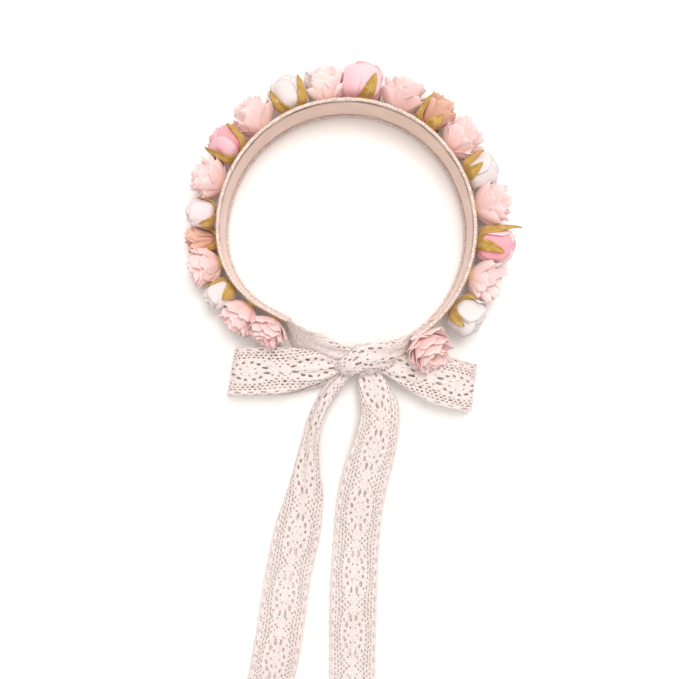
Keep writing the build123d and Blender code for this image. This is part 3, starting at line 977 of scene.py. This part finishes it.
def wrapped_petal(parts, rng, profile, theta, half, ruffle):
    """A petal of a closed flower: a patch wrapped round the axis, with a rounded rim."""
    skew, round_off = 0.075, 0.26
    way = curve_through(profile)
    phase, lobes = rng.uniform(0, FULL_TURN), rng.choice((1.2, 1.6, 2))
    grow = rng.uniform(0.93, 1.04)

    def surface(s, w):
        reach = min(s * (1 - round_off * abs(w) ** 2.6) * grow, 1.0)
        rho, h = way(reach)
        spread = half * (0.55 + 0.45 * math.sin(min(1.0, s * 1.25) * math.pi / 2))
        angle = theta + spread * w
        rho = rho * (1 + skew * w) + ruffle * s * s * math.sin(lobes * math.pi * w + phase)
        h = h + 0.35 * ruffle * s * s * math.cos(lobes * math.pi * w * 1.3 + phase)
        return rho * math.cos(angle), rho * math.sin(angle), h

    parts.sheet(12, 16, surface, rng.random())


def open_petal(parts, rng, theta, length, wide, lean, cup, ruffle):
    """A petal of an open flower: a narrow foot, a broad cupped face and a scalloped, ruffled rim.

    lean gives its angle from the flower's axis at the foot, in the middle and at the rim, in
    degrees, and cup the radius that it is curved to across.
    """
    steps = 40
    bend = rng.uniform(-5, 7)
    lean = (lean[0], lean[1] + bend, lean[2] + 1.4 * bend + rng.uniform(-5, 5))
    angles = np.radians(np.interp(np.linspace(0, 1, steps + 1), (0, 0.4, 1), lean))
    length *= rng.uniform(0.93, 1.04)
    rho = FOOT[0] + np.concatenate([[0], np.cumsum(np.sin(angles[1:]))]) * length / steps
    height = FOOT[1] + np.concatenate([[0], np.cumsum(np.cos(angles[1:]))]) * length / steps
    phase, phase2 = rng.uniform(0, FULL_TURN), rng.uniform(0, FULL_TURN)
    lobes = rng.choice((1.1, 1.5, 1.9))
    fold = rng.uniform(-0.5, 0.5)
    twist = rng.uniform(-0.14, 0.14)

    def surface(s, w):
        rim = 1 - 0.34 * abs(w) ** 2.4 - 0.035 * (1 + math.cos(3.3 * math.pi * w + phase2))
        r, h, tip = (
            np.interp(s * rim * steps, range(steps + 1), along) for along in (rho, height, angles)
        )
        half = wide * (0.22 + 0.78 * math.sin(min(1.0, s * 1.12) * math.pi / 2) ** 0.9)
        t = half * w
        inward = cup * (1 - math.cos(t / cup))
        wave = ruffle * s * s * (0.35 + abs(w)) * math.sin(lobes * math.pi * w + phase)
        crease = 0.9 * s * (1 - s * 0.4) * math.exp(-(((w - fold) / 0.22) ** 2))
        wave += crease - 0.07 * s * math.sin(11 * w + phase)
        wave += 0.9 * s**4 * abs(w)
        off = wave - inward
        r, h = r + off * math.cos(tip), h - off * math.sin(tip)
        side = cup * math.sin(t / cup) + twist * s * length * 0.4
        cos, sin = math.cos(theta), math.sin(theta)
        return r * cos - side * sin, r * sin + side * cos, h

    parts.sheet(11, 14, surface, rng.random())


def blossom(parts, rng, radius, length):
    size = radius / 13.5
    # Each layer: count, share of the length, half width, lean, cup, ruffle.
    layers = (
        (7, 0.84, 9.2, (84, 54, 30), 13, 1.3),
        (6, 0.98, 9.6, (70, 30, 24), 12, 1.5),
        (5, 1.04, 9.0, (50, 16, 22), 11, 1.5),
        (5, 1.02, 7.8, (32, 8, 17), 9, 1.3),
        (3, 0.92, 6.0, (18, 3, 12), 7, 0.9),
    )
    turn = rng.uniform(0, FULL_TURN)
    for count, tall, wide, lean, cup, ruffle in layers:
        tall, wide = (length - 1.5) * tall, wide * size**0.7
        lean = tuple(a * (0.55 + 0.45 * size) for a in lean)
        for k in range(count):
            theta = turn + 2 * math.pi * (k + rng.uniform(-0.14, 0.14)) / count
            open_petal(parts, rng, theta, tall, wide, lean, cup, ruffle)
        turn += math.pi / count + 0.3


def rose(parts, rng, radius, length):
    size = radius / 12.0
    # Each layer: count, share of the length, half width, lean, cup, ruffle.
    layers = (
        (5, 0.90, 8.0, (66, 24, 30), 10, 1.7),
        (5, 0.97, 8.0, (54, 14, 26), 9, 1.8),
        (4, 1.00, 7.4, (38, 7, 24), 8, 1.6),
        (4, 1.00, 6.4, (24, 3, 18), 6, 1.3),
        (3, 0.95, 4.8, (12, 1, 10), 4.5, 0.8),
    )
    turn = rng.uniform(0, FULL_TURN)
    for count, tall, wide, lean, cup, ruffle in layers:
        for k in range(count):
            theta = turn + 2 * math.pi * (k + rng.uniform(-0.12, 0.12)) / count
            open_petal(parts, rng, theta, (length - 2.5) * tall, wide * size, lean, cup, ruffle)
        turn += math.pi / count + 0.25


def bud(parts, rng, radius, length):
    # Each layer: count, shares of the radius and length, half angle, ruffle, how open its rim is.
    layers = (
        (5, 1.00, 0.86, 0.92, 0.6, 0.78),
        (4, 0.92, 0.95, 1.02, 0.55, 0.60),
        (3, 0.74, 1.00, 1.25, 0.45, 0.50),
        (3, 0.50, 1.00, 1.35, 0.35, 0.50),
        (2, 0.26, 0.98, 1.7, 0.2, 0.6),
    )
    turn = rng.uniform(0, FULL_TURN)
    for count, wide, tall, half, ruffle, opening in layers:
        r, top = radius * wide, length * tall
        for k in range(count):
            wideness = opening + rng.uniform(-0.08, 0.14)
            profile = [
                FOOT,
                (1.2 + 0.74 * r, FOOT[1] + 0.12 * (top - 3)),
                (0.99 * r, 3.0 + 0.38 * (top - 3)),
                (0.98 * r, 3.0 + 0.62 * (top - 3)),
                (r * (0.5 + wideness * 0.62), 3.0 + 0.86 * (top - 3)),
                (r * (0.2 + wideness * 0.82), top),
            ]
            theta = turn + 2 * math.pi * (k + rng.uniform(-0.08, 0.08)) / count
            wrapped_petal(parts, rng, profile, theta, half, ruffle)
        turn += math.pi / count + 0.3


def sepals(parts, rng, radius, length, leaves):
    """Pointed leaves that hug the flower, from their rows in LEAVES."""
    for azimuth, reach, wide, drift, stand in leaves:
        theta, top = math.radians(azimuth), 2.0 + reach * length
        way = curve_through(
            [
                (2.4, 1.5),
                (2.2 + 0.78 * radius, 2.4 + 0.12 * (length - 3)),
                (1.2 + 1.0 * radius, 3.0 + 0.34 * (length - 3)),
                (1.3 + radius * 0.99 + 0.3 * stand, 0.84 * top),
                (1.4 + radius * 0.90 + stand, top),
            ]
        )
        sway = rng.uniform(-0.5, 0.5)

        def surface(s, w):
            rho, h = way(s)
            broad = wide * math.sin(math.pi * min(1.0, 0.12 + 0.88 * s) ** 0.85) ** 0.8 + 0.12
            angle = theta + (broad * w + drift * s * s) / max(rho, 3.0)
            rho += 0.5 * abs(w) ** 1.5 * (0.4 + s) + 0.2 * math.sin(6 * s + 3 * w + sway)
            return rho * math.cos(angle), rho * math.sin(angle), h

        parts.sheet(16, 8, surface, rng.random())


# For each bud and rose, its leaves: azimuth in degrees (90 is up), share of the flower's length,
# half width, sideways drift, and how far the tip stands off.
LEAVES = {
    3: ((146, 0.78, 4.4, 2, 0.8), (72, 0.46, 4.8, -2, 0.4), (255, 0.5, 4.2, 0, 0.5)),
    5: ((35, 0.6, 3.8, 0, 1.0), (150, 0.62, 3.8, 0, 1.0), (270, 0.5, 3.8, 0, 0.5)),
    6: ((52, 0.46, 4.2, -2, 0.3), (165, 0.62, 3.8, 0, 0.6), (280, 0.5, 3.8, 0, 0.5)),
    8: ((38, 0.84, 4.4, -1, 0.8), (136, 0.72, 4.6, 1, 1.0), (262, 0.6, 4.2, 0, 0.5)),
    10: ((44, 0.66, 4.6, -1, 1.2), (128, 0.74, 4.4, 2, 1.2), (275, 0.6, 4.2, 0, 0.5)),
    12: ((108, 0.60, 4.8, 5, 0.4), (215, 0.6, 4.6, 0, 0.6), (325, 0.6, 4.6, 0, 0.6)),
    14: ((34, 0.74, 4.4, 3, 1.2), (104, 0.44, 4.4, 2, 0.6), (250, 0.6, 4.2, 0, 0.5)),
    16: ((50, 0.70, 4.0, -3, 1.6), (96, 0.50, 4.0, -4, 0.8), (268, 0.6, 4.2, 0, 0.5)),
    18: ((50, 1.04, 4.4, -6, 1.0), (98, 0.64, 4.2, 5, 0.4), (255, 0.6, 4.2, 0, 0.5)),
    20: ((40, 0.42, 4.2, -2, 0.4), (118, 0.52, 4.6, 2, 0.5), (262, 0.6, 4.2, 0, 0.5)),
}

stamen_points, stamen_faces = [], []


def add_stamen(a, b):
    """A thin stalk from a to b, ending in a knob."""
    axis = (b - a) / np.linalg.norm(b - a)
    side = np.cross(axis, [0.3, 0.5, 0.8])
    side /= np.linalg.norm(side)
    up = np.cross(axis, side)
    stalk, knob = 0.14, 0.5
    stations = [(a, stalk), (b, stalk), (b + axis * 0.15, knob * 0.8), (b + axis * 0.5, knob)]
    stations += [(b + axis * 0.9, knob * 0.7), (b + axis * 1.1, 0.05)]
    sides, base = 6, len(stamen_points)
    for centre, r in stations:
        for k in range(sides):
            t = 2 * math.pi * k / sides
            stamen_points.append(centre + r * (side * math.cos(t) + up * math.sin(t)))
    stamen_faces.extend(strip_faces(len(stations), sides, base, closed=True))
    stamen_faces.extend(end_caps(base, len(stations), sides))


def neighbour(number, step):
    """The next flower's foot and outward axis, and this flower's share of the gap to it."""
    if not 0 <= number + step < len(FLOWERS):
        return None
    mine, other = FLOWERS[number], FLOWERS[number + step]
    weight = [f[5] * (1.12 if f[0] == "blossom" else 1.0) for f in (mine, other)]
    foot, _, _, axis = axis_frame(*other[1:5])
    return foot, axis, weight[0] / sum(weight)


KINDS = {"blossom": blossom, "rose": rose, "bud": bud}
for number, flower in enumerate(FLOWERS, start=1):
    kind, angle, run, height, tilt, radius, length, tone = flower
    rng = random.Random(700 + number)
    node = f"{kind}_{number:02d}"
    axes = axis_frame(angle, run, height, tilt)
    room = (neighbour(number - 1, 1), neighbour(number - 1, -1))
    parts = Parts(axes, room, LIMITS.get(number, USUAL_LIMITS))
    KINDS[kind](parts, rng, radius, length)
    made = parts.make(f"{node}_flower", PETALS[tone], 0.28)
    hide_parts(f"{node}_petals")
    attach(made, "crown")
    if kind == "blossom":
        coat_node(f"{node}_calyx", SEPAL)
        for _ in range(9):
            t, r = rng.uniform(0, FULL_TURN), rng.uniform(0.2, 1.6)
            x, y = r * math.cos(t), r * math.sin(t)
            foot = parts.place((x, y, 4.5))
            top = parts.place((2.0 * x, 2.0 * y, length * rng.uniform(0.72, 0.88)))
            add_stamen(foot, top)
    else:
        leaves = Parts(axes, room)
        sepals(leaves, rng, radius, length, LEAVES[number])
        made = leaves.make(f"{node}_sepals", SEPAL, 0.35)
        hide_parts(f"{node}_calyx")
        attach(made, "crown")

stamens = make_object("stamens", stamen_points, stamen_faces, STAMEN)
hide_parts("stamen_clusters")
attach(stamens, "crown")
